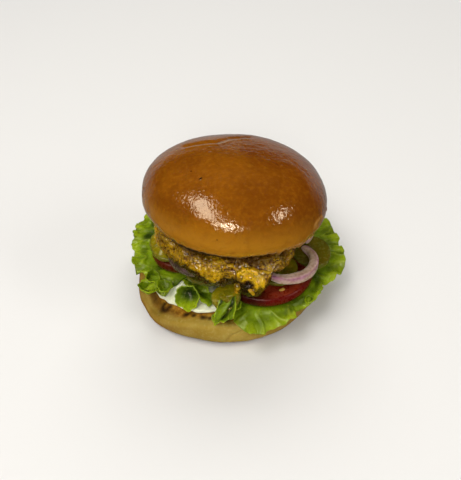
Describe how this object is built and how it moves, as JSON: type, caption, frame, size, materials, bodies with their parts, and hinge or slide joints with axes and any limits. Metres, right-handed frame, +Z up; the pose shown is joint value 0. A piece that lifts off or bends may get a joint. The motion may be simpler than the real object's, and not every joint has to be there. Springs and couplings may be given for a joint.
{
  "type": "chicken burger",
  "caption": "Burger with a glazed crown, fried chicken fillet, red onion rings, pickles, tomato slices, leaf lettuce and mayonnaise on a toasted heel.",
  "frame": {"origin": "middle of the heel's flat underside, where the burger rests", "axes": "+Z up through the stack, -Y the front, +X to the right seen from the front"},
  "size_m": [0.124, 0.1208, 0.0863],
  "materials": {
    "bun_heel": "soft baked crumb and crust",
    "bun_crown": "glazed brown crust",
    "mayonnaise": "creamy",
    "lettuce": "waxy leaf",
    "tomato": "wet cut flesh and skin",
    "pickle": "wet, translucent",
    "red_onion": "wet, translucent",
    "fried_chicken": "rough, oily fried coating"
  },
  "bodies": {
    "root": {"bun_bottom": "bun_heel", "mayonnaise": "mayonnaise", "lettuce_right": "lettuce", "lettuce_left": "lettuce", "lettuce_cup": "lettuce", "lettuce_fold": "lettuce", "lettuce_shred": "lettuce", "tomato_right": "tomato", "tomato_left": "tomato", "pickle_front": "pickle", "pickle_under": "pickle", "pickle_left": "pickle", "pickle_inner": "pickle", "pickle_right": "pickle", "onion_front": "red_onion", "onion_back": "red_onion", "onion_left": "red_onion", "chicken_fillet": "fried_chicken", "bun_top": "bun_crown"}
  },
  "joints": []
}
